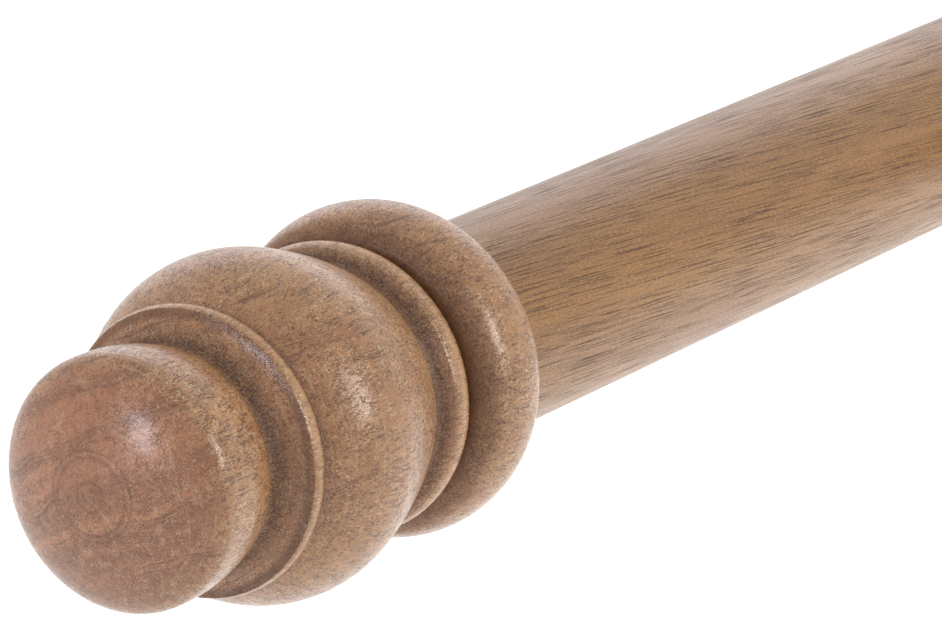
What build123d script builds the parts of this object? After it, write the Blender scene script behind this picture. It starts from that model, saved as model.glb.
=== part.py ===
# Wooden curtain rod with a turned finial on each end, carried in two open-cup wall brackets.
# Millimetres. +X runs along the rod, -Y points out from the wall and +Z is up.
# The origin lies on the wall, midway between the brackets and level with the rod's axis.

import os
from math import asin, degrees, radians, tan

from build123d import *

# Rod: a hardwood dowel in an oak-effect skin
rod_length = 1200.0
rod_radius = 14.0
skin_thickness = 0.4

# Finial mouldings, from the tip back to the rod: runs along the axis, then radii and curves
ball_run = 6.7
neck_run = 9.8
flare_run = 3.75
ridge_run = 2.05
quirk_run = 0.2
bulb_rise_run = 11.0
bulb_fall_run = 15.1
cove_run = 2.4
bead_run = 2.85
bead_fall_run = 1.9
collar_front_run = 6.75
collar_back_run = 7.2
tip_flat_radius = 0.6
ball_radius = 15.75
neck_radius = 13.85
flare_hollow = 0.5
ridge_radius = 18.0
ridge_rise = 0.45
quirk_radius = 17.2
bulb_radius = 21.85
bulb_crest_round = 14.0
bulb_crest_arc = 17.0
cove_radius = 16.8
cove_hollow = 0.12
bead_radius = 18.55
bead_rise = 0.35
shoulder_radius = 16.95
collar_radius = 21.4
collar_wall = 2.0
socket_depth = 14.0

# Double-ended wood screw that joins each finial to the rod
finial_screw_radius = 3.0
finial_screw_bite = 20.0
finial_screw_point = 4.0

# Wall plate
bracket_spacing = 640.0
plate_thickness = 3.0
plate_hole_spacing = 28.0
plate_hole_radius = 2.25
plate_sink_radius = 4.0
plate_margin = 4.0
sink_angle = 90.0

# Arm: a spigot into the rosette, then a bead, a bulb and a flared end, from the rosette outwards
spigot_radius = 12.0
spigot_length = 2.0
base_bead_run = 7.0
arm_rise_run = 14.0
arm_fall_run = 19.0
arm_flare_run = 14.5
base_bead_radius = 15.0
base_quirk_radius = 11.5
arm_bulb_radius = 13.5
arm_neck_radius = 8.5
arm_end_radius = 10.0

# Rosette
rosette_wall = 9.7
rosette_thickness = 15.0
rosette_rim = 3.5
rosette_land = 2.0
rosette_top = 2.5
recess_spare = 0.6

# Cup
cup_wall = 8.7
cup_crown = 3.0
cup_width = 24.0
cup_pad_depth = 2.5
cup_front_height = 6.0
cup_back_height = 14.0
cup_lip_round = 1.5

# Hanger bolt, cup screw and retaining screw
hanger_radius = 3.0
hanger_bite = 22.0
hanger_point = 4.0
cup_screw_radius = 2.0
cup_screw_head_radius = 3.9
cup_screw_bite = 22.0
cup_screw_point = 4.0
cup_screw_sunk = 0.4
retaining_radius = 2.0
retaining_bite = 8.0
retaining_point = 2.0
retaining_head_radius = 3.8
retaining_head_height = 2.4
retaining_flat = 0.6

# Clearances
glue_line = 0.05
thread_fit = 0.05
rod_clearance = 0.3
plate_clearance = 0.3
hanger_clearance = 0.3
seat_gap = 0.2
tip_spare = 0.5

# Places and sizes that follow from those above
core_radius = rod_radius - skin_thickness - glue_line
seat_radius = rod_radius + rod_clearance
rod_end = rod_length / 2
nose_arc = 90 - degrees(asin(tip_flat_radius / ball_radius))
neck_at = ball_run + neck_run
ridge_at = neck_at + flare_run
ridge_end = ridge_at + ridge_run
quirk_at = ridge_end + quirk_run
bulb_at = quirk_at + bulb_rise_run
cove_at = bulb_at + bulb_fall_run
bead_at = cove_at + cove_run
bead_end = bead_at + bead_run
shoulder_at = bead_end + bead_fall_run
collar_at = shoulder_at + collar_front_run
finial_length = collar_at + collar_back_run
socket_floor = finial_length - socket_depth
tip_at = rod_end + seat_gap + socket_floor
plate_radius = plate_hole_spacing / 2 + plate_sink_radius + plate_margin
recess_radius = plate_radius + plate_clearance
rosette_radius = recess_radius + rosette_wall
rosette_top_radius = base_bead_radius + rosette_land
arm_bulb_at = base_bead_run + arm_rise_run
arm_neck_at = arm_bulb_at + arm_fall_run
arm_length = arm_neck_at + arm_flare_run
cup_radius = seat_radius + cup_wall
pad_offset = cup_radius - cup_pad_depth
projection = rosette_thickness + arm_length + pad_offset
cup_screw_top = seat_radius + cup_screw_sunk
cup_screw_head = (cup_screw_head_radius - cup_screw_radius) / tan(radians(sink_angle / 2))
cup_screw_length = pad_offset - cup_screw_top + cup_screw_bite
hanger_length = rosette_thickness - spigot_length + hanger_bite - tip_spare
retaining_seat = cup_radius - retaining_flat
retaining_length = retaining_seat - rod_radius + retaining_bite
rod_axis = Axis((0, -projection, 0), (1, 0, 0))
under_rod = Plane((0, -projection, -rod_radius))
sides = {"left": -1, "right": 1}

os.makedirs("parts", exist_ok=True)


def write(name, part):
    part.label = name
    export_step(part, f"parts/{name}.step")


# Rod core: a plain dowel, drilled in each end for a finial screw
# and from below at each bracket for a retaining screw.
with BuildPart() as rod_core:
    with BuildSketch(Plane((-rod_end, -projection, 0), z_dir=(1, 0, 0))):
        Circle(core_radius)
    extrude(amount=rod_length)
    for sign in sides.values():
        with BuildSketch(Plane((sign * rod_end, -projection, 0), z_dir=(sign, 0, 0))):
            Circle(finial_screw_radius + thread_fit)
        extrude(amount=-(finial_screw_bite + tip_spare), mode=Mode.SUBTRACT)
    with BuildSketch(under_rod):
        with GridLocations(bracket_spacing, 0, 2, 1):
            Circle(retaining_radius + thread_fit)
    extrude(amount=retaining_bite + tip_spare, mode=Mode.SUBTRACT)
write("rod_core", rod_core.part)

# Rod skin: the wood-effect layer bonded round the dowel, pierced for the retaining screws.
with BuildPart() as rod_skin:
    with BuildSketch(Plane((-rod_end, -projection, 0), z_dir=(1, 0, 0))):
        Circle(rod_radius)
        Circle(rod_radius - skin_thickness, mode=Mode.SUBTRACT)
    extrude(amount=rod_length)
    with BuildSketch(under_rod):
        with GridLocations(bracket_spacing, 0, 2, 1):
            Circle(retaining_radius + thread_fit)
    extrude(amount=rod_radius, mode=Mode.SUBTRACT)
write("rod_skin", rod_skin.part)

for side, sign in sides.items():
    # Finial: turned in one piece as a button, a cove, a bulb between two raised bands and a collar,
    # with a socket for the rod's end and a pilot hole for its screw in the collar's back.
    turning = Plane((sign * tip_at, -projection, 0), x_dir=(-sign, 0, 0), z_dir=(0, sign, 0))
    with BuildPart() as finial:
        with BuildSketch(turning):
            with BuildLine():
                nose = EllipticalCenterArc(
                    (ball_run, 0),
                    ball_run,
                    ball_radius,
                    start_angle=90,
                    arc_size=nose_arc,
                )
                TangentArc((ball_run, ball_radius), (neck_at, neck_radius), tangent=(1, 0))
                SagittaArc((neck_at, neck_radius), (ridge_at, ridge_radius - ridge_rise), -flare_hollow)
                ThreePointArc(
                    (ridge_at, ridge_radius - ridge_rise),
                    (ridge_at + ridge_run / 2, ridge_radius),
                    (ridge_end, ridge_radius - ridge_rise),
                )
                Line((ridge_end, ridge_radius - ridge_rise), (quirk_at, quirk_radius))
                TangentArc((bulb_at, bulb_radius), (quirk_at, quirk_radius), tangent=(-1, 0))
                bulb_crest = JernArc((bulb_at, bulb_radius), (1, 0), bulb_crest_round, -bulb_crest_arc)
                TangentArc(bulb_crest @ 1, (cove_at, cove_radius), tangent=bulb_crest % 1)
                SagittaArc((cove_at, cove_radius), (bead_at, bead_radius - bead_rise), -cove_hollow)
                ThreePointArc(
                    (bead_at, bead_radius - bead_rise),
                    (bead_at + bead_run / 2, bead_radius),
                    (bead_end, bead_radius - bead_rise),
                )
                Line((bead_end, bead_radius - bead_rise), (shoulder_at, shoulder_radius))
                EllipticalCenterArc(
                    (collar_at, shoulder_radius),
                    collar_front_run,
                    collar_radius - shoulder_radius,
                    start_angle=90,
                    arc_size=90,
                )
                EllipticalCenterArc(
                    (collar_at, seat_radius + collar_wall),
                    collar_back_run,
                    collar_radius - seat_radius - collar_wall,
                    start_angle=0,
                    arc_size=90,
                )
                Polyline(
                    (finial_length, seat_radius + collar_wall),
                    (finial_length, seat_radius),
                    (socket_floor, seat_radius),
                    (socket_floor, finial_screw_radius + thread_fit),
                    (socket_floor - finial_screw_bite - tip_spare, finial_screw_radius + thread_fit),
                    (socket_floor - finial_screw_bite - tip_spare, 0),
                    ((nose @ 1).X, 0),
                    nose @ 1,
                )
            make_face()
        revolve(axis=rod_axis)
    write(f"{side}_finial", finial.part)

    # Finial screw: a double-ended wood screw, half in the rod's end and half in the finial.
    screw_half = finial_screw_bite + seat_gap / 2
    with BuildPart() as finial_screw:
        with BuildSketch(Plane((sign * (rod_end + seat_gap / 2), -projection, 0), (1, 0, 0), (0, -1, 0))):
            with BuildLine():
                Polyline(
                    (-screw_half, 0),
                    (-screw_half + finial_screw_point, finial_screw_radius),
                    (screw_half - finial_screw_point, finial_screw_radius),
                    (screw_half, 0),
                    close=True,
                )
            make_face()
        revolve(axis=rod_axis)
    write(f"{side}_finial_screw", finial_screw.part)

    # Wall plate: a steel disc, tapped in the middle, with two countersunk holes for wall screws.
    bracket_x = sign * bracket_spacing / 2
    wall = Plane((bracket_x, 0, 0), x_dir=(1, 0, 0), z_dir=(0, -1, 0))
    arm_axis = Axis((bracket_x, 0, 0), (0, -1, 0))
    with BuildPart() as wall_plate:
        with BuildSketch(wall):
            Circle(plate_radius)
            Circle(hanger_radius + thread_fit, mode=Mode.SUBTRACT)
        extrude(amount=plate_thickness)
        with Locations(wall.offset(plate_thickness)):
            with GridLocations(0, plate_hole_spacing, 1, 2):
                CounterSinkHole(plate_hole_radius, plate_sink_radius, counter_sink_angle=sink_angle)
    write(f"{side}_wall_plate", wall_plate.part)

    # Rosette: a turned rose with an ogee edge that hides the wall plate and seats the arm.
    rose_shoulder = rosette_thickness - rosette_top
    with BuildPart() as rosette:
        with BuildSketch(Plane((bracket_x, 0, 0), x_dir=(0, -1, 0), z_dir=(1, 0, 0))):
            with BuildLine():
                Polyline((0, 0), (0, rosette_radius), (rosette_rim, rosette_radius))
                Spline(
                    (rosette_rim, rosette_radius),
                    (rose_shoulder, rosette_top_radius),
                    tangents=((1, 0), (1, 0)),
                )
                Polyline(
                    (rose_shoulder, rosette_top_radius),
                    (rosette_thickness, rosette_top_radius),
                    (rosette_thickness, 0),
                    (0, 0),
                )
            make_face()
        revolve(axis=arm_axis)
        with BuildSketch(wall):
            Circle(recess_radius)
        extrude(amount=plate_thickness + recess_spare, mode=Mode.SUBTRACT)
        with BuildSketch(wall.offset(rosette_thickness)):
            Circle(spigot_radius + glue_line)
        extrude(amount=-(spigot_length + glue_line), mode=Mode.SUBTRACT)
        with BuildSketch(wall):
            Circle(hanger_radius + hanger_clearance)
        extrude(amount=rosette_thickness, mode=Mode.SUBTRACT)
    write(f"{side}_rosette", rosette.part)

    # Arm: a turned spindle, drilled at one end for the hanger bolt and at the other for the cup screw.
    bead_centre = (base_bead_run / 2, base_quirk_radius)
    with BuildPart() as arm:
        with BuildSketch(Plane((bracket_x, -rosette_thickness, 0), x_dir=(0, -1, 0), z_dir=(1, 0, 0))):
            with BuildLine():
                Polyline(
                    (0, base_quirk_radius),
                    (0, spigot_radius),
                    (-spigot_length, spigot_radius),
                    (-spigot_length, 0),
                    (arm_length, 0),
                    (arm_length, arm_end_radius),
                )
                TangentArc((arm_neck_at, arm_neck_radius), (arm_length, arm_end_radius), tangent=(1, 0))
                Spline(
                    (arm_bulb_at, arm_bulb_radius),
                    (arm_neck_at, arm_neck_radius),
                    tangents=((1, 0), (1, 0)),
                )
                TangentArc(
                    (arm_bulb_at, arm_bulb_radius),
                    (base_bead_run, base_quirk_radius),
                    tangent=(-1, 0),
                )
                EllipticalCenterArc(
                    bead_centre,
                    base_bead_run / 2,
                    base_bead_radius - base_quirk_radius,
                    start_angle=0,
                    arc_size=180,
                )
            make_face()
        revolve(axis=arm_axis)
        with BuildSketch(wall.offset(rosette_thickness - spigot_length)):
            Circle(hanger_radius + thread_fit)
        extrude(amount=hanger_bite + tip_spare, mode=Mode.SUBTRACT)
        with BuildSketch(wall.offset(rosette_thickness + arm_length)):
            Circle(cup_screw_radius + thread_fit)
        extrude(amount=-(cup_screw_bite + tip_spare), mode=Mode.SUBTRACT)
    write(f"{side}_arm", arm.part)

    # Cup: a turned ring with a crowned outside, opened at the top so that the rod lifts out,
    # with a flat at the back for the arm, a sunk hole for its screw and a hole below for the rod's.
    cup_middle = Plane((bracket_x, -projection, 0), x_dir=(1, 0, 0), z_dir=(0, -1, 0))
    cup_side = Plane((bracket_x, -projection, 0), x_dir=(0, 1, 0), z_dir=(1, 0, 0))
    screw_seat = Plane((bracket_x, cup_screw_top - projection, 0), x_dir=(1, 0, 0), z_dir=(0, -1, 0))
    with BuildPart() as cup:
        with BuildSketch(cup_middle):
            with BuildLine():
                ThreePointArc(
                    (-cup_width / 2, cup_radius - cup_crown),
                    (0, cup_radius),
                    (cup_width / 2, cup_radius - cup_crown),
                )
                Polyline(
                    (cup_width / 2, cup_radius - cup_crown),
                    (cup_width / 2, seat_radius),
                    (-cup_width / 2, seat_radius),
                    (-cup_width / 2, cup_radius - cup_crown),
                )
            make_face()
        revolve(axis=rod_axis)
        with BuildSketch(cup_side):
            Rectangle(2 * seat_radius, cup_radius, align=(Align.CENTER, Align.MIN))
            with Locations((0, cup_front_height)):
                Rectangle(cup_radius, cup_radius, align=(Align.MAX, Align.MIN))
            with Locations((0, cup_back_height)):
                Rectangle(cup_radius, cup_radius, align=(Align.MIN, Align.MIN))
            with Locations((pad_offset, 0)):
                Rectangle(cup_radius, 2 * cup_radius, align=(Align.MIN, Align.CENTER))
        extrude(amount=cup_width, both=True, mode=Mode.SUBTRACT)
        lips = cup.edges().filter_by(Axis.X).filter_by_position(Axis.Z, cup_front_height, cup_back_height)
        fillet(lips, cup_lip_round)
        with Locations(screw_seat):
            CounterSinkHole(
                cup_screw_radius + thread_fit,
                cup_screw_head_radius + thread_fit,
                counter_sink_angle=sink_angle,
            )
        with BuildSketch(Plane((bracket_x, -projection, -cup_radius))):
            Circle(retaining_radius + thread_fit)
        extrude(amount=cup_radius, mode=Mode.SUBTRACT)
        with BuildSketch(Plane((bracket_x, -projection, -retaining_seat))):
            Circle(retaining_head_radius + rod_clearance)
        extrude(amount=-cup_radius, mode=Mode.SUBTRACT)
    write(f"{side}_cup", cup.part)

    # Hanger bolt: machine thread in the wall plate, wood thread in the arm.
    with BuildPart() as hanger_bolt:
        with BuildSketch(Plane((bracket_x, -tip_spare, 0), x_dir=(0, -1, 0), z_dir=(1, 0, 0))):
            with BuildLine():
                Polyline(
                    (0, 0),
                    (0, hanger_radius),
                    (hanger_length - hanger_point, hanger_radius),
                    (hanger_length, 0),
                    close=True,
                )
            make_face()
        revolve(axis=arm_axis)
    write(f"{side}_hanger_bolt", hanger_bolt.part)

    # Cup screw: a countersunk wood screw, driven from inside the cup into the arm's end.
    with BuildPart() as cup_screw:
        with BuildSketch(Plane(screw_seat.origin, x_dir=(0, 1, 0), z_dir=(1, 0, 0))):
            with BuildLine():
                Polyline(
                    (0, 0),
                    (0, cup_screw_head_radius),
                    (cup_screw_head, cup_screw_radius),
                    (cup_screw_length - cup_screw_point, cup_screw_radius),
                    (cup_screw_length, 0),
                    close=True,
                )
            make_face()
        revolve(axis=arm_axis)
    write(f"{side}_cup_screw", cup_screw.part)

    # Retaining screw: a round-headed brass screw through the bottom of the cup into the rod.
    with BuildPart() as retaining_screw:
        with BuildSketch(Plane((bracket_x, -projection, -retaining_seat), x_dir=(1, 0, 0), z_dir=(0, -1, 0))):
            with BuildLine():
                Polyline(
                    (0, -retaining_head_height),
                    (0, retaining_length),
                    (retaining_radius, retaining_length - retaining_point),
                    (retaining_radius, 0),
                    (retaining_head_radius, 0),
                )
                EllipticalCenterArc(
                    (0, 0),
                    retaining_head_radius,
                    retaining_head_height,
                    start_angle=270,
                    arc_size=90,
                )
            make_face()
        revolve(axis=Axis((bracket_x, -projection, 0), (0, 0, 1)))
    write(f"{side}_retaining_screw", retaining_screw.part)
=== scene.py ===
from math import asin, atan2, cos, degrees, pi, radians, sin, tan

import bmesh
import bpy
from mathutils import Matrix, Vector


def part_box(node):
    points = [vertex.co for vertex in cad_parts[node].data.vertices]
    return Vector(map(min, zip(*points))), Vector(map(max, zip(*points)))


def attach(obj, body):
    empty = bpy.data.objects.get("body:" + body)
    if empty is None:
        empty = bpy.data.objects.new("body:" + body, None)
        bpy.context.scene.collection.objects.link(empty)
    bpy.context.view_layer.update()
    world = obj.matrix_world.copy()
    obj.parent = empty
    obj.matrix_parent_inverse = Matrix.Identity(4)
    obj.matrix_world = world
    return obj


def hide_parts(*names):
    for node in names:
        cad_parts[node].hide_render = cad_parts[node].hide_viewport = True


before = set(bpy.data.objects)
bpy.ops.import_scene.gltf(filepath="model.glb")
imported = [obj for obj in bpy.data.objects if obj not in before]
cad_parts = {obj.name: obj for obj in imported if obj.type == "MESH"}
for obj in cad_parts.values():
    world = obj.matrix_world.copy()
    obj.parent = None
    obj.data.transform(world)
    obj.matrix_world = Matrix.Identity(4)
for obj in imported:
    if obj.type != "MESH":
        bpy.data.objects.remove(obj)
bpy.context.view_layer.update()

# Wall plates. Pressed steel discs with bright zinc plating, screwed to the wall through two
# countersunk holes. Each is tapped in the middle for its bracket's hanger bolt.
mm = 0.001
sides = {"left": -1, "right": 1}


class Wire:
    """One output of a material's nodes. Arithmetic on wires and numbers adds Math nodes."""

    def __init__(self, finish, socket):
        self.finish = finish
        self.socket = socket

    def math(self, operation, *values):
        return self.finish.node("ShaderNodeMath", {"operation": operation}, dict(enumerate(values)))

    def __add__(self, other):
        return self.math("ADD", self, other)

    def __radd__(self, other):
        return self.math("ADD", other, self)

    def __sub__(self, other):
        return self.math("SUBTRACT", self, other)

    def __rsub__(self, other):
        return self.math("SUBTRACT", other, self)

    def __mul__(self, other):
        return self.math("MULTIPLY", self, other)

    def __rmul__(self, other):
        return self.math("MULTIPLY", other, self)

    def __truediv__(self, other):
        return self.math("DIVIDE", self, other)

    def __rtruediv__(self, other):
        return self.math("DIVIDE", other, self)

    def __pow__(self, other):
        return self.math("POWER", self, other)

    def __abs__(self):
        return self.math("ABSOLUTE", self)

    def rise(self, low, high):
        """0 below low, 1 above high, eased between. With low above high it falls instead."""
        sockets = {"Value": self, "From Min": low, "From Max": high}
        return self.finish.node("ShaderNodeMapRange", {"interpolation_type": "SMOOTHSTEP"}, sockets)

    def near(self, middle, reach):
        """1 at a middle value, easing to 0 at a distance of reach."""
        return abs(self - middle).rise(reach, 0)


class Nodes:
    """A node tree that is written as expressions."""

    def __init__(self, tree):
        self.tree = tree

    def node(self, kind, settings=None, sockets=None, output=0):
        made = self.tree.nodes.new(kind)
        for name, value in (settings or {}).items():
            setattr(made, name, value)
        for name, value in (sockets or {}).items():
            if isinstance(value, Wire):
                self.tree.links.new(value.socket, made.inputs[name])
            else:
                made.inputs[name].default_value = value
        return Wire(self, made.outputs[output])


class Finish(Nodes):
    """A material round one Principled shader, with the shader's fixed values given by name."""

    def __init__(self, name, fixed):
        self.material = bpy.data.materials.new(name)
        self.material.use_nodes = True
        super().__init__(self.material.node_tree)
        self.shader = self.tree.nodes["Principled BSDF"]
        for socket, value in fixed.items():
            self.shader.inputs[socket].default_value = value
        self.place = self.node("ShaderNodeTexCoord", output="Object")
        self.x, self.y, self.z = (self.coordinate(axis) / mm for axis in "XYZ")

    def coordinate(self, axis):
        return self.node("ShaderNodeSeparateXYZ", sockets={"Vector": self.place}, output=axis)

    def point(self, x, y, z):
        return self.node("ShaderNodeCombineXYZ", sockets={"X": x, "Y": y, "Z": z})

    def noise(self, point, detail=2.0, roughness=0.5):
        sockets = {"Vector": point, "Scale": 1.0, "Detail": detail, "Roughness": roughness}
        return self.node("ShaderNodeTexNoise", sockets=sockets)

    def mix(self, factor, a, b):
        """One colour going over to another. Sockets 6 and 7 are the node's two colours."""
        return self.node("ShaderNodeMix", {"data_type": "RGBA"}, {"Factor": factor, 6: a, 7: b}, output=2)

    def bump(self, height, depth):
        """Relief of a height from 0 to 1 over a depth in metres."""
        sockets = {"Height": height, "Distance": depth, "Strength": 1.0}
        self.feed("Normal", self.node("ShaderNodeBump", sockets=sockets))

    def feed(self, socket, wire):
        self.tree.links.new(wire.socket, self.shader.inputs[socket])


def srgb(red, green, blue):
    """A colour as seen on a screen, 0 to 255, as the shader's linear colour."""
    levels = [value / 255 for value in (red, green, blue)]
    return (*[v / 12.92 if v <= 0.04045 else ((v + 0.055) / 1.055) ** 2.4 for v in levels], 1.0)


zinc = Finish("zinc_plate", {"Metallic": 1.0})
cloud = zinc.noise(zinc.point(zinc.x * 0.12, zinc.y * 0.12, zinc.z * 0.12), detail=4)
scuff = zinc.noise(zinc.point(zinc.x * 0.5, zinc.y * 6, zinc.z * 6), detail=3).rise(0.5, 0.75)
zinc.feed("Base Color", zinc.mix(cloud.rise(0.3, 0.7), srgb(170, 174, 178), srgb(205, 207, 206)))
zinc.feed("Roughness", 0.28 + 0.14 * cloud + 0.12 * scuff)
zinc.bump(scuff, 0.02 * mm)


def finish_solid(node, material):
    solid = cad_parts[node]
    solid.data.materials.clear()
    solid.data.materials.append(material)


for side in sides:
    finish_solid(f"{side}_wall_plate", zinc.material)

# Rosettes. Beech discs turned on a faceplate, with an ogee edge and a recess behind that hides the
# wall plate. Stained and lacquered like the finials, the grain running up the face.


class Beech(Finish):
    """Stained beech under a satin lacquer, its grain along x, y or z.

    A section can add marks of its own between stain and seal.
    """

    def __init__(self, name, grain):
        super().__init__(name, {"Coat Roughness": 0.17, "Specular IOR Level": 0.42})
        x, y, z = self.x, self.y, self.z
        self.length, self.width, self.height = {"x": (x, y, z), "y": (y, z, x), "z": (z, x, y)}[grain]
        facing = self.node("ShaderNodeTexCoord", output="Normal")
        facing = self.node("ShaderNodeSeparateXYZ", sockets={"Vector": facing}, output=grain.upper())
        self.end_grain = abs(facing).rise(0.3, 0.95)

    def drawn(self, lengthwise, crosswise, shift=0.0, **texture):
        """Noise with its own number of features to the millimetre along the grain and across it.

        Each use is shifted along the noise, so that no two draw the same marks.
        """
        place = (self.length * lengthwise + shift, self.width * crosswise, self.height * crosswise)
        return self.noise(self.point(*place), **texture)

    def tint(self, factor, red, green, blue):
        self.colour = self.mix(factor, self.colour, srgb(red, green, blue))

    def stain(self, end_grain):
        """Growth rings, soft patches, pores along the grain and short curled strokes."""
        ring_way = self.height * 0.9 - self.width * 0.42 + self.drawn(0.02, 0.07, detail=2) * 6
        ring_place = self.point(ring_way * 0.27, self.length * 0.012, 4.0)
        self.rings = self.noise(ring_place, detail=3, roughness=0.6)
        patch = self.drawn(0.05, 0.16, 9.0, detail=4, roughness=0.6)
        worn = self.drawn(0.06, 0.13, 12.0, detail=2).rise(0.34, 0.6)
        grain = self.drawn(0.06, 1.5, 2.0, detail=3, roughness=0.6).rise(0.52, 0.62)
        grain_gate = self.drawn(0.05, 0.2, 7.0, detail=2).rise(0.44, 0.6)
        pores = self.drawn(0.28, 3.2, 11.0, detail=2, roughness=0.6).rise(0.57, 0.64)
        curl_gate = self.drawn(0.6, 0.9, 8.0).rise(0.44, 0.52)
        curl = self.drawn(0.9, 2.4, 3.0, detail=1).near(0.5, 0.05) * curl_gate
        pale_gate = self.drawn(0.6, 0.9, 18.0).rise(0.46, 0.54)
        pale = self.drawn(0.8, 2.6, 15.0, detail=1).near(0.5, 0.05) * pale_gate
        self.speck = self.drawn(3.2, 4.4, 6.0, detail=2, roughness=0.7)
        fine = (0.45 + 0.55 * worn) * (1 - 0.3 * end_grain)
        self.colour = self.mix(end_grain, srgb(182, 136, 91), srgb(177, 121, 87))
        self.tint((0.22 + 0.5 * end_grain) * self.rings.rise(0.42, 0.56), 130, 85, 57)
        self.tint(0.2 + 0.3 * patch.rise(0.4, 0.66), 146, 94, 64)
        self.tint(0.4 * grain * grain_gate, 106, 70, 44)
        self.tint(0.65 * pores * (1 - 0.6 * end_grain), 80, 49, 29)
        self.tint(0.9 * curl * fine, 80, 49, 30)
        self.tint(0.62 * pale * fine, 228, 194, 155)
        self.tint(0.38 * self.speck.rise(0.5, 0.65) * fine, 90, 56, 37)
        self.tint(0.22 * self.speck.rise(0.48, 0.34) * fine, 224, 190, 150)
        self.rough = 0.19 + 0.12 * self.speck + 0.14 * curl
        self.coat = 0.15 - 0.1 * self.speck.rise(0.45, 0.6)
        self.relief = self.speck * 0.6 - curl * 0.7 - pores * 0.4

    def seal(self):
        self.feed("Base Color", self.colour)
        self.feed("Roughness", self.rough)
        self.feed("Coat Weight", self.coat)
        self.bump(self.relief, 0.065 * mm)


def axes(axis):
    along = Vector(axis).normalized()
    across = along.orthogonal().normalized()
    return along, across, along.cross(across)


def lathe(form, outline, centre, axis, segments=128):
    """Adds a solid of revolution. The outline goes along the axis as (distance, radius)."""
    along, across, third = axes(axis)
    turns = [2 * pi * i / segments for i in range(segments)]
    spokes = [across * cos(turn) + third * sin(turn) for turn in turns]
    rings = []
    for distance, radius in outline:
        middle = Vector(centre) + along * distance
        if radius < 1e-7:
            rings.append([form.verts.new(middle)])
        else:
            rings.append([form.verts.new(middle + spoke * radius) for spoke in spokes])
    for before, after in zip(rings, rings[1:]):
        for i in range(segments):
            j = (i + 1) % segments
            places = ((before, i), (before, j), (after, j), (after, i))
            corners = list(dict.fromkeys(ring[k % len(ring)] for ring, k in places))
            if len(corners) > 2:
                form.faces.new(corners)


def made(name, form, angle=40):
    """A new object with soft shading, kept crisp where the surface turns by more than the angle."""
    bmesh.ops.recalc_face_normals(form, faces=form.faces)
    mesh = bpy.data.meshes.new(name)
    form.to_mesh(mesh)
    form.free()
    mesh.polygons.foreach_set("use_smooth", [True] * len(mesh.polygons))
    mesh.set_sharp_from_angle(angle=radians(angle))
    piece = bpy.data.objects.new(name, mesh)
    bpy.context.scene.collection.objects.link(piece)
    return piece


def turned(name, outline, centre, axis, segments=128):
    form = bmesh.new()
    lathe(form, outline, centre, axis, segments)
    return made(name, form)


def dress(piece, body, nodes, material):
    """Gives a piece its finish and the body that it moves with, and hides the solids that it stands for.
    """
    piece.data.materials.clear()
    piece.data.materials.append(material)
    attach(piece, body)
    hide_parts(*nodes)


def ogee(start, end, steps=20):
    """An S-curve with level ends, the last point left out."""
    (x0, r0), (x1, r1) = start, end
    parts = [i / steps for i in range(steps)]
    return [(x0 + (x1 - x0) * t, r0 + (r1 - r0) * (3 - 2 * t) * t * t) for t in parts]


def bead(centre, run, rise, start, end, steps=14):
    """An elliptical moulding from one angle to another in degrees, 0 pointing on along the axis."""
    turns = [radians(start + (end - start) * i / steps) for i in range(steps + 1)]
    return [(centre[0] + run * cos(t), centre[1] + rise * sin(t)) for t in turns]


def metres(outline):
    return [(along * mm, max(radius, 0) * mm) for along, radius in outline]


rosette_wood = Beech("rosette_wood", "z")
rosette_wood.stain(rosette_wood.end_grain)
rosette_wood.seal()
rosette_radius, rosette_thick, rosette_rim, wall_edge = 32.0, 15.0, 3.5, 1.0
land_radius, land_height, land_edge = 17.0, 2.5, 1.2
recess_radius, recess_depth = 22.3, 3.6
spigot_radius, spigot_length, hanger_hole, glue_line = 12.0, 2.0, 3.3, 0.05
rosette_outline = [
    (recess_depth, hanger_hole),
    (recess_depth, recess_radius),
    (0, recess_radius),
    *bead((wall_edge, rosette_radius - wall_edge), wall_edge, wall_edge, 180, 90, 6),
    *ogee((rosette_rim, rosette_radius), (rosette_thick - land_height, land_radius), 28),
    *bead((rosette_thick - land_edge, land_radius - land_edge), land_edge, land_edge, 90, 0, 6),
    (rosette_thick, spigot_radius + glue_line),
    (rosette_thick - spigot_length, spigot_radius + glue_line),
    (rosette_thick - spigot_length, hanger_hole),
    (recess_depth, hanger_hole),
]
outward = Vector((0, -1, 0))
bracket_x = {side: sum(corner[0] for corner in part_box(f"{side}_rosette")) / 2 for side in sides}
for side in sides:
    wall_point = (bracket_x[side], 0, 0)
    rosette = turned(f"{side}_rosette_turned", metres(rosette_outline), wall_point, outward)
    dress(rosette, "brackets", [f"{side}_rosette"], rosette_wood.material)

# Arms. Beech spindles turned with a bead at the rosette, a bulb and a flared end for the cup.
# Each is pulled on to its rosette by the hanger bolt.


def hollow(start, end, depth, steps=14):
    """An arc from start to end, sunk by a depth in its middle or, if the depth is negative, raised."""
    first, last = Vector(start), Vector(end)
    chord = last - first
    inside = Vector((chord.y, -chord.x)).normalized()
    size = chord.length_squared / (8 * depth) + depth / 2
    centre = (first + last) / 2 + inside * (depth - size)
    sweep = 2 * asin(chord.length / 2 / size)
    spoke = first - centre
    return [tuple(centre + Matrix.Rotation(sweep * i / steps, 2) @ spoke) for i in range(steps + 1)]


def carry_on(points, end, steps=16):
    """An arc that leaves the last of some points in their own direction and ends at a given point."""
    start, target = Vector(points[-1]), Vector(end)
    ahead = (start - Vector(points[-2])).normalized()
    chord = target - start
    bend = atan2(ahead.x * chord.y - ahead.y * chord.x, ahead.dot(chord))
    return hollow(start, target, chord.length / 2 * tan(bend / 2), steps)[1:]


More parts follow.
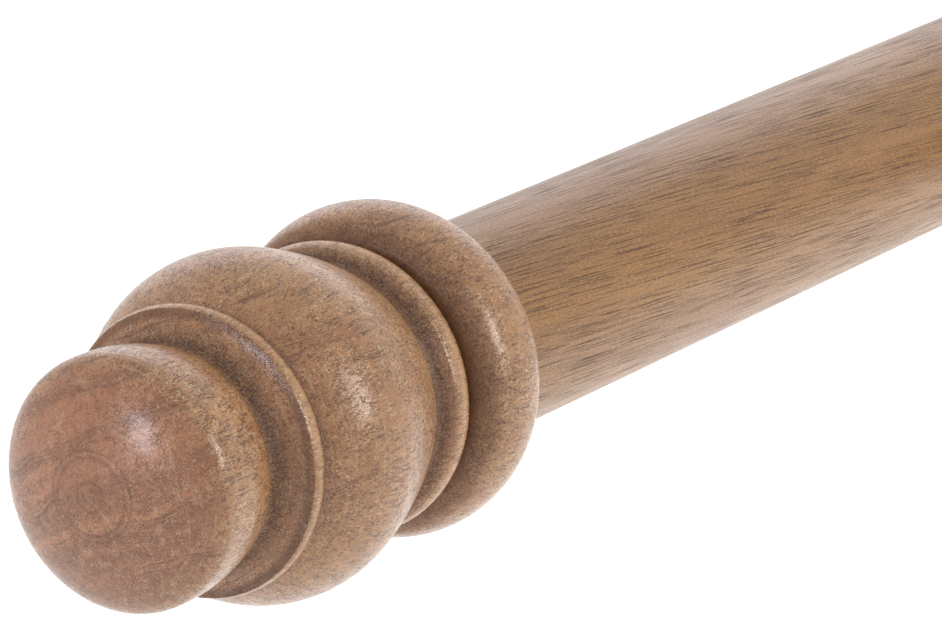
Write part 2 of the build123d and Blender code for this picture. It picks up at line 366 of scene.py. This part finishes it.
def swell(start, crest, steps=28):
    """An arc that rises from a start and is level at its crest."""
    run, rise = crest[0] - start[0], crest[1] - start[1]
    size = (run**2 + rise**2) / (2 * rise)
    arc = degrees(asin(run / size))
    return bead((crest[0], crest[1] - size), size, size, 90 + arc, 90, steps)


arm_wood = Beech("arm_wood", "y")
arm_wood.stain(arm_wood.end_grain)
arm_wood.seal()
base_run, base_radius, base_quirk = 7.0, 15.0, 11.5
arm_bulb, arm_neck = (21.0, 13.5), (40.0, 8.5)
arm_length, arm_end, end_bevel = 54.5, 10.0, (0.5, 0.4)
level_before_neck = (arm_neck[0] - 0.1, arm_neck[1])
arm_outline = [(-spigot_length, 0), (-spigot_length, spigot_radius), (0, spigot_radius)]
arm_outline += bead((base_run / 2, base_quirk), base_run / 2, base_radius - base_quirk, 172, 0, 20)
arm_outline += swell((base_run, base_quirk), arm_bulb, 20)[:-1] + ogee(arm_bulb, arm_neck, 24)
arm_outline += carry_on([level_before_neck, arm_neck], (arm_length - end_bevel[0], arm_end))
arm_outline += [(arm_length, arm_end - end_bevel[1]), (arm_length, 0)]
for side in sides:
    arm_foot = (bracket_x[side], -rosette_thick * mm, 0)
    arm = turned(f"{side}_arm_turned", metres(arm_outline), arm_foot, outward, 96)
    dress(arm, "brackets", [f"{side}_arm"], arm_wood.material)

# Hanger bolts. Zinc-plated steel rods with a fine machine thread in the wall plate, a plain collar
# inside the rosette and a coarse rolled wood thread in the arm.


def thread(form, length, radius, pitch, tapers, centre, axis, segments=40, rows=10):
    """Adds a thread with its crest at the radius, drawn in to a point over a taper at each end."""
    along, across, third = axes(axis)
    depth, flank = 0.208 * pitch, 0.2
    lines = []
    for k in range(-rows, int(length / pitch * rows) + rows + 1):
        sunk = min(1, abs(k % rows / rows - 0.5) / flank)
        line = []
        for j in range(segments + 1):
            distance = min(max((k / rows + j / segments) * pitch, 0), length)
            taper = min(1, distance / tapers[0], (length - distance) / tapers[1])
            turn = 2 * pi * j / segments
            spoke = across * cos(turn) + third * sin(turn)
            reach = spoke * taper * (radius - depth * sunk)
            line.append(form.verts.new(Vector(centre) + (along * distance + reach) * mm))
        lines.append(line)
    for before, after in zip(lines, lines[1:]):
        for j in range(segments):
            form.faces.new((before[j], before[j + 1], after[j + 1], after[j]))
    bmesh.ops.remove_doubles(form, verts=[vert for line in lines for vert in line], dist=1e-6)


hanger_start, hanger_radius, hanger_length = 0.5, 3.0, 34.5
machine_length, machine_pitch, machine_tapers = 11.0, 1.0, (0.8, 0.8)
plain_at, plain_length, plain_bevel = 10.4, 3.0, 0.4
coarse_at, coarse_pitch, coarse_tapers = 12.2, 2.6, (1.2, 4.0)
plain_outline = [
    (0, 0),
    (0, hanger_radius - plain_bevel),
    (plain_bevel, hanger_radius),
    (plain_length - plain_bevel, hanger_radius),
    (plain_length, hanger_radius - plain_bevel),
    (plain_length, 0),
]
for side in sides:
    bolt_foot = Vector((bracket_x[side], -hanger_start * mm, 0))
    plain_from = bolt_foot + outward * plain_at * mm
    coarse_from = bolt_foot + outward * coarse_at * mm
    coarse_length = hanger_length - coarse_at
    form = bmesh.new()
    thread(form, machine_length, hanger_radius, machine_pitch, machine_tapers, bolt_foot, outward)
    lathe(form, metres(plain_outline), plain_from, outward, 40)
    thread(form, coarse_length, hanger_radius, coarse_pitch, coarse_tapers, coarse_from, outward)
    hanger_bolt = made(f"{side}_hanger_bolt_threaded", form)
    dress(hanger_bolt, "brackets", [f"{side}_hanger_bolt"], zinc.material)

# Cups. Beech rings turned with a crowned outside and cut open at the top, so that the rod lifts
# out. Each is held to its arm by a countersunk, cross-headed screw from inside.


def cut(piece, cutter, angle=40):
    """Takes a cutter's shape out of a piece."""
    change = piece.modifiers.new("cut", "BOOLEAN")
    change.operation = "DIFFERENCE"
    change.solver = "EXACT"
    change.object = cutter
    whole = piece.data
    bpy.context.view_layer.update()
    shaped = piece.evaluated_get(bpy.context.evaluated_depsgraph_get())
    piece.data = bpy.data.meshes.new_from_object(shaped)
    piece.modifiers.clear()
    piece.data.set_sharp_from_angle(angle=radians(angle))
    bpy.data.meshes.remove(whole)
    bpy.data.meshes.remove(cutter.data)


def opened(piece):
    """A piece's shape, taken back so that more can be added to it."""
    form = bmesh.new()
    form.from_mesh(piece.data)
    bpy.data.meshes.remove(piece.data)
    return form


def bar(name, centre, size):
    """A square-edged cutter."""
    form = bmesh.new()
    place = Matrix.LocRotScale(Vector(centre), None, Vector(size) * mm)
    bmesh.ops.create_cube(form, size=1, matrix=place)
    return made(name, form)


cup_wood = Beech("cup_wood", "x")
cup_wood.stain(cup_wood.end_grain)
cup_wood.seal()
rod_low, rod_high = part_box("rod_skin")
rod_y = (rod_low[1] + rod_high[1]) / 2
inward = Vector((0, 1, 0))
screw_top, screw_length, screw_radius, shank_length = 14.7, 27.8, 2.0, 8.0
head_radius, head_edge, head_depth = 3.9, 0.15, 1.9
root_radius, shank_bevel, thread_lap = 1.5, 0.4, 1.0
recess_wide, recess_arm, recess_deep = 0.9, 4.2, 1.4
screw_pitch, screw_tapers = 1.8, (1.6, 4.0)
screw_thread_at = shank_length - thread_lap
screw_outline = [
    (0, 0),
    (0, head_radius - head_edge),
    (head_edge, head_radius),
    (head_depth, screw_radius),
    (shank_length, screw_radius),
    (shank_length + shank_bevel, root_radius),
    (shank_length + shank_bevel, 0),
]
for side in sides:
    finish_solid(f"{side}_cup", cup_wood.material)
    top = Vector((bracket_x[side], rod_y + screw_top * mm, 0))
    thread_from = top + inward * screw_thread_at * mm
    thread_length = screw_length - screw_thread_at
    head = turned("head", metres(screw_outline), top, inward, 48)
    cut(head, bar("recess", top, (recess_arm, 2 * recess_deep, recess_wide)))
    cut(head, bar("recess", top, (recess_wide, 2 * recess_deep, recess_arm)))
    form = opened(head)
    thread(form, thread_length, screw_radius, screw_pitch, screw_tapers, thread_from, inward, 32)
    cup_screw = made(f"{side}_cup_screw_threaded", form)
    dress(cup_screw, "brackets", [f"{side}_cup_screw"], zinc.material)

# Retaining screws. Round-headed brass screws, slotted for a driver, that go up through the cups
# into the rod and keep it from lifting out.
brass = Finish("brass_screw", {"Metallic": 1.0})
tarnish = brass.noise(brass.point(brass.x * 0.6, brass.y * 0.6, brass.z * 0.6), detail=4)
rub = brass.noise(brass.point(brass.x * 7, brass.y * 0.8, brass.z * 7), detail=2).rise(0.5, 0.7)
brass.feed("Base Color", brass.mix(tarnish.rise(0.35, 0.7), srgb(196, 158, 84), srgb(168, 128, 62)))
brass.feed("Roughness", 0.24 + 0.2 * tarnish + 0.1 * rub)
brass.bump(rub, 0.015 * mm)
upright = Vector((0, 0, 1))
keeper_seat, keeper_radius, keeper_length, keeper_shank = 22.4, 2.0, 16.4, 6.0
keeper_head, keeper_height = 3.8, 2.4
slot_long, slot_wide, slot_deep = 8.36, 0.9, 1.2
keeper_pitch, keeper_tapers = 1.4, (1.2, 2.0)
keeper_thread_at = keeper_shank - thread_lap
keeper_outline = bead((0, 0), keeper_height, keeper_head, 180, 90, 16)
keeper_outline += [
    (0, keeper_radius),
    (keeper_shank, keeper_radius),
    (keeper_shank + shank_bevel, root_radius),
    (keeper_shank + shank_bevel, 0),
]
for side in sides:
    seat = Vector((bracket_x[side], rod_y, -keeper_seat * mm))
    thread_from = seat + upright * keeper_thread_at * mm
    thread_length = keeper_length - keeper_thread_at
    head = turned("head", metres(keeper_outline), seat, upright, 56)
    cut(head, bar("slot", seat - upright * keeper_height * mm, (slot_long, slot_wide, 2 * slot_deep)))
    form = opened(head)
    thread(form, thread_length, keeper_radius, keeper_pitch, keeper_tapers, thread_from, upright, 32)
    keeper = made(f"{side}_retaining_screw_slotted", form)
    dress(keeper, f"{side}_retaining_screw", [f"{side}_retaining_screw"], brass.material)

# Rod. A beech dowel in an oak-effect skin, printed with long pores that run a little off the
# axis, and sealed with a satin film. The skin is pierced below for the retaining screws.
core_wood = Beech("core_wood", "x")
core_wood.stain(core_wood.end_grain)
core_wood.seal()
finish_solid("rod_core", core_wood.material)
rod_radius = (rod_high[1] - rod_low[1]) / 2
rod_length = rod_high[0] - rod_low[0]

oak = Finish("oak_skin", {"Coat Roughness": 0.18, "Specular IOR Level": 0.3})
grain_slant = 0.075
round_skin = oak.node("ShaderNodeMath", {"operation": "ARCTAN2"}, {0: oak.y - rod_y / mm, 1: oak.z})
girth = round_skin * (rod_radius / mm) + oak.x * grain_slant
broad = oak.noise(oak.point(oak.x * 0.012, girth * 0.16, 0.0), detail=3, roughness=0.6)
streak = oak.noise(oak.point(oak.x * 0.02, girth * 1.1, 3.0), detail=3, roughness=0.6)
pore = oak.noise(oak.point(oak.x * 0.07, girth * 5.6, 7.0), detail=2, roughness=0.6)
pore_gate = oak.noise(oak.point(oak.x * 0.02, girth * 0.35, 11.0), detail=2)
pores = pore.rise(0.51, 0.61) * pore_gate.rise(0.3, 0.5)
grit = oak.noise(oak.point(oak.x * 1.4, girth * 5.0, 1.0), detail=2)
oak_colour = oak.mix(broad.rise(0.3, 0.7), srgb(142, 97, 46), srgb(154, 109, 53))
oak_colour = oak.mix(0.35 * streak.rise(0.42, 0.7), oak_colour, srgb(126, 82, 42))
oak_colour = oak.mix(0.85 * pores, oak_colour, srgb(74, 44, 21))
oak_colour = oak.mix(0.4 * grit.rise(0.48, 0.66), oak_colour, srgb(104, 66, 36))
oak_colour = oak.mix(0.3 * grit.rise(0.46, 0.32), oak_colour, srgb(196, 156, 108))
oak.feed("Base Color", oak_colour)
oak.feed("Roughness", 0.4 + 0.1 * grit + 0.12 * pores)
oak.feed("Coat Weight", 0.35 - 0.25 * pores)
oak.bump(0.5 * grit - pores, 0.03 * mm)

skin_inside = rod_radius - 0.4 * mm
skin_edge = 0.1 * mm
skin_outline = [
    (0, skin_inside),
    (0, rod_radius - skin_edge),
    (skin_edge, rod_radius),
    (rod_length - skin_edge, rod_radius),
    (rod_length, rod_radius - skin_edge),
    (rod_length, skin_inside),
    (0, skin_inside),
]
skin = turned("rod_skin_wrapped", skin_outline, (rod_low[0], rod_y, 0), (1, 0, 0))
drill_radius, drill_from, drill_to = keeper_radius + 0.05, -16, -12
drill_outline = [(drill_from, 0), (drill_from, drill_radius), (drill_to, drill_radius), (drill_to, 0)]
for side in sides:
    drill_point = (bracket_x[side], rod_y, 0)
    cut(skin, turned("drill", metres(drill_outline), drill_point, upright, 40))
dress(skin, "rod", ["rod_skin"], oak.material)

# Finials. Turned from beech in one piece, then stained and lacquered: a button, a flared neck, a
# bulb between two raised bands and a collar with a socket for the rod's end. The stain is redder on
# end grain and thinner on the bands, and the lathe's centre has left rings on the tip.
ball_run, ball_radius = 6.7, 15.75
neck = (16.5, 14.1)
ridge_at, ridge_end, ridge_edge, ridge_rise, flare_hollow = 20.25, 22.3, 17.75, 0.25, 0.8
quirk, bulb_crest = (22.5, 17.2), (33.5, 21.85)
crest_round, crest_arc = 14.0, 17.0
cove, cove_hollow = (48.6, 16.8), 0.12
bead_at, bead_end, bead_edge, bead_rise = 51.0, 53.85, 18.2, 0.35
shoulder = (55.75, 16.95)
collar_at, collar_radius, collar_back, collar_wall = 62.5, 21.4, 7.2, 2.0
socket_radius, socket_depth, socket_bevel = 14.3, 14.0, 0.4
pilot_radius, pilot_depth = 3.05, 20.5
ball = bead((ball_run, 0), ball_run, ball_radius, 180, 90, 48)
ball += carry_on(ball, neck)
flare = hollow(neck, (ridge_at, ridge_edge), flare_hollow)
front_band = hollow((ridge_at, ridge_edge), (ridge_end, ridge_edge), -ridge_rise)
crest_centre = (bulb_crest[0], bulb_crest[1] - crest_round)
bulb = swell(quirk, bulb_crest)
bulb += bead(crest_centre, crest_round, crest_round, 90, 90 - crest_arc, 6)[1:]
bulb += carry_on(bulb, cove)
rear_band = hollow(cove, (bead_at, bead_edge), cove_hollow, 8)
rear_band += hollow((bead_at, bead_edge), (bead_end, bead_edge), -bead_rise)
collar_run, collar_rise = collar_at - shoulder[0], collar_radius - shoulder[1]
back_foot = socket_radius + collar_wall
collar = bead((collar_at, shoulder[1]), collar_run, collar_rise, 180, 90, 22)[:-1]
collar += bead((collar_at, back_foot), collar_back, collar_radius - back_foot, 90, 0, 22)
finial_length = collar_at + collar_back
floor_at = finial_length - socket_depth
socket = [
    (finial_length, socket_radius + socket_bevel),
    (finial_length - socket_bevel, socket_radius),
    (floor_at, socket_radius),
    (floor_at, pilot_radius),
    (floor_at - pilot_depth, pilot_radius),
    (floor_at - pilot_depth, 0),
]
finial_outline = metres(ball + flare + front_band + bulb + rear_band + collar + socket)
right_tip = Vector((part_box("right_finial")[1][0], rod_y, 0))

wood = Beech("finial_wood", "x")
from_tip = right_tip.x / mm - abs(wood.x)
off_y = wood.y - rod_y / mm
from_axis = (off_y * off_y + wood.z * wood.z) ** 0.5
round_axis = wood.node("ShaderNodeMath", {"operation": "ARCTAN2"}, {0: off_y, 1: wood.z})
tip_face = wood.end_grain * from_tip.rise(15.5, 11)
wood.stain(0.35 * wood.end_grain + 0.65 * tip_face)
lathe_lines = wood.noise(wood.point(from_tip * 2.2, round_axis * 2.4, 8.0), detail=2).rise(0.58, 0.7)
checks = wood.rings.near(0.5, 0.012) * wood.drawn(0.1, 0.16, 5.0).rise(0.45, 0.6)
band_places = ((21.3, 1.2), (52.4, 1.7))
# The creases at the ridge's edges, the quirk, the cove and the collar's shoulder are darkened: stain
# gathered there and painted shade.
crease_places = ((20.1, 0.4), (22.5, 0.5), (48.7, 0.8), (55.7, 1.0))
centre_rings = ((1.8, 0.4), (4.7, 0.4), (5.5, 0.3))
bands = sum(from_tip.near(*place) for place in band_places)
crease_stain_and_shade = sum(from_tip.near(*place) for place in crease_places)
centre_marks = sum(from_axis.near(*ring) for ring in centre_rings) * from_tip.rise(2.0, 1.0)
# Painted shade: the neck, the cove and the foot of the collar are darkened in the colour where shade
# falls in these hollows. The same mask also roughens them and thins their coat.
neck_shade = from_tip.near(17.4, 2.6)
cove_shade = from_tip.near(49.6, 1.8)
collar_shade = 0.6 * from_tip.near(56.6, 2.2)
hollow_shade = neck_shade + cove_shade + collar_shade
wood.tint(0.32 * bands, 212, 172, 134)
wood.tint(0.2 * lathe_lines, 214, 182, 142)
# Painted shade in the hollows, broken up by the speckle.
wood.tint(hollow_shade * (0.5 + 0.5 * wood.speck.rise(0.36, 0.6)), 76, 46, 26)
# Painted shade and gathered stain in the creases.
wood.tint(0.6 * crease_stain_and_shade, 92, 58, 30)
wood.tint(0.6 * checks, 84, 48, 32)
wood.tint(0.5 * centre_marks, 112, 66, 46)
wood.rough = wood.rough + 0.38 * hollow_shade
wood.coat = (wood.coat + 0.18 * tip_face) * (1 - (hollow_shade + bands).rise(0, 0.6))
wood.relief = wood.relief + lathe_lines * 0.2 - centre_marks * 0.5
wood.seal()

joiner_radius, joiner_length, joiner_pitch, joiner_tapers = 3.0, 40.2, 2.6, (4.0, 4.0)
for side, sign in sides.items():
    tip = (sign * right_tip.x, rod_y, 0)
    finial = turned(f"{side}_finial_turned", finial_outline, tip, (-sign, 0, 0), 160)
    dress(finial, f"{side}_finial", [f"{side}_finial"], wood.material)
    joiner_from = (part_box(f"{side}_finial_screw")[0][0], rod_y, 0)
    form = bmesh.new()
    thread(form, joiner_length, joiner_radius, joiner_pitch, joiner_tapers, joiner_from, (1, 0, 0))
    joiner = made(f"{side}_finial_screw_threaded", form)
    dress(joiner, f"{side}_finial_screw", [f"{side}_finial_screw"], zinc.material)

# Studio. A light tent: white all round and below, brightest behind the finial and dim on the
# camera's side, with a strip window to the right of the camera, a cooler one to its left and a
# faint violet sky behind.
sight_turn, sight_fall = radians(31.599), radians(15.634)
lens_pixels, picture = 5695.8, (942, 621)
tip_pixel, tip_distance = (89.97, 497.65), 0.657
level_sight = cos(sight_fall)
sight = Vector((-cos(sight_turn) * level_sight, -sin(sight_turn) * level_sight, -sin(sight_fall)))
rightward = sight.cross(upright).normalized()
upward = rightward.cross(sight)
lean = rightward * (tip_pixel[0] - picture[0] / 2) - upward * (tip_pixel[1] - picture[1] / 2)

camera = bpy.data.objects.new("camera", bpy.data.cameras.new("camera"))
camera.data.sensor_width = 36
camera.data.lens = lens_pixels * camera.data.sensor_width / picture[0]
camera.data.clip_end = 100
camera.matrix_world = Matrix((rightward, upward, -sight)).transposed().to_4x4()
camera.location = right_tip - (sight + lean / lens_pixels) * tip_distance
bpy.context.scene.collection.objects.link(camera)
bpy.context.scene.camera = camera

floor_mesh = bpy.data.meshes.new("floor")
reach, drop = 40.0, -0.6
corners = [(-reach, -reach, drop), (reach, -reach, drop), (reach, reach, drop), (-reach, reach, drop)]
floor_mesh.from_pydata(corners, [], [(0, 1, 2, 3)])
floor = bpy.data.objects.new("floor", floor_mesh)
bpy.context.scene.collection.objects.link(floor)
paper_grey, paper_bounce, paper_glow = (0.8, 0.8, 0.8, 1), (0.19, 0.17, 0.15, 1), (0.7, 0.7, 0.7, 1)
paper = Finish("floor_paper", {"Base Color": paper_grey, "Roughness": 0.9, "Emission Strength": 1.0})


def seen_rays(nodes):
    """1 for the rays that show the background: straight to the camera, in a shine or through glass."""
    names = [f"Is {kind} Ray" for kind in ("Camera", "Glossy", "Transmission")]
    straight, shine, through = (nodes.node("ShaderNodeLightPath", output=name) for name in names)
    return straight.math("MAXIMUM", straight, shine.math("MAXIMUM", shine, through))


paper.feed("Emission Color", paper.mix(seen_rays(paper), paper_bounce, paper_glow))
floor_mesh.materials.append(paper.material)


def lamp(name, direction, distance, width, height, radiance, colour, lights=True, shines=True):
    """A soft lamp aimed at the near finial, from a direction: right, up and towards the camera."""
    light = bpy.data.lights.new(name, "AREA")
    light.shape = "RECTANGLE"
    light.size = width
    light.size_y = height
    light.energy = radiance * pi * width * height
    light.color = colour
    holder = bpy.data.objects.new(name, light)
    aim = (rightward * direction[0] + upward * direction[1] - sight * direction[2]).normalized()
    holder.location = right_tip + aim * distance
    holder.rotation_euler = aim.to_track_quat("Z", "Y").to_euler()
    holder.visible_camera = False
    holder.visible_diffuse = lights
    holder.visible_glossy = shines
    bpy.context.scene.collection.objects.link(holder)


lamp("right_wall", (0.95, 0.15, -0.2), 2.0, 1.6, 1.6, 2.95, (1.0, 1.0, 0.96), shines=False)
lamp("right_strip", (0.88, 0.24, 0.40), 1.2, 0.24, 0.5, 17.0, (1.0, 0.96, 0.92), lights=False)
lamp("left_window", (-0.62, 0.05, 0.77), 1.0, 0.2, 0.36, 15.0, (0.92, 0.9, 1.0))
lamp("rear_sky", (0.0, 0.62, -0.78), 1.6, 1.6, 0.9, 0.8, (0.97, 0.9, 1.0), lights=False)

world = bpy.data.worlds.new("studio")
world.use_nodes = True
bpy.context.scene.world = world
tent = Nodes(world.node_tree)
way = tent.node("ShaderNodeTexCoord", output="Generated")


def towards(aim):
    """1 straight along an aim, easing to 0 at right angles to it."""
    settings = {"operation": "DOT_PRODUCT"}
    return tent.node("ShaderNodeVectorMath", settings, {0: way, 1: aim}, output="Value").rise(0, 1)


glow = 1.2 * towards(sight) + 0.98 * towards(upright)
seen = seen_rays(tent)
backdrop = world.node_tree.nodes["Background"]
backdrop.inputs["Color"].default_value = (1, 1, 1, 1)
world.node_tree.links.new((seen + (1 - seen) * glow).socket, backdrop.inputs["Strength"])

bpy.context.scene.view_settings.view_transform = "Standard"
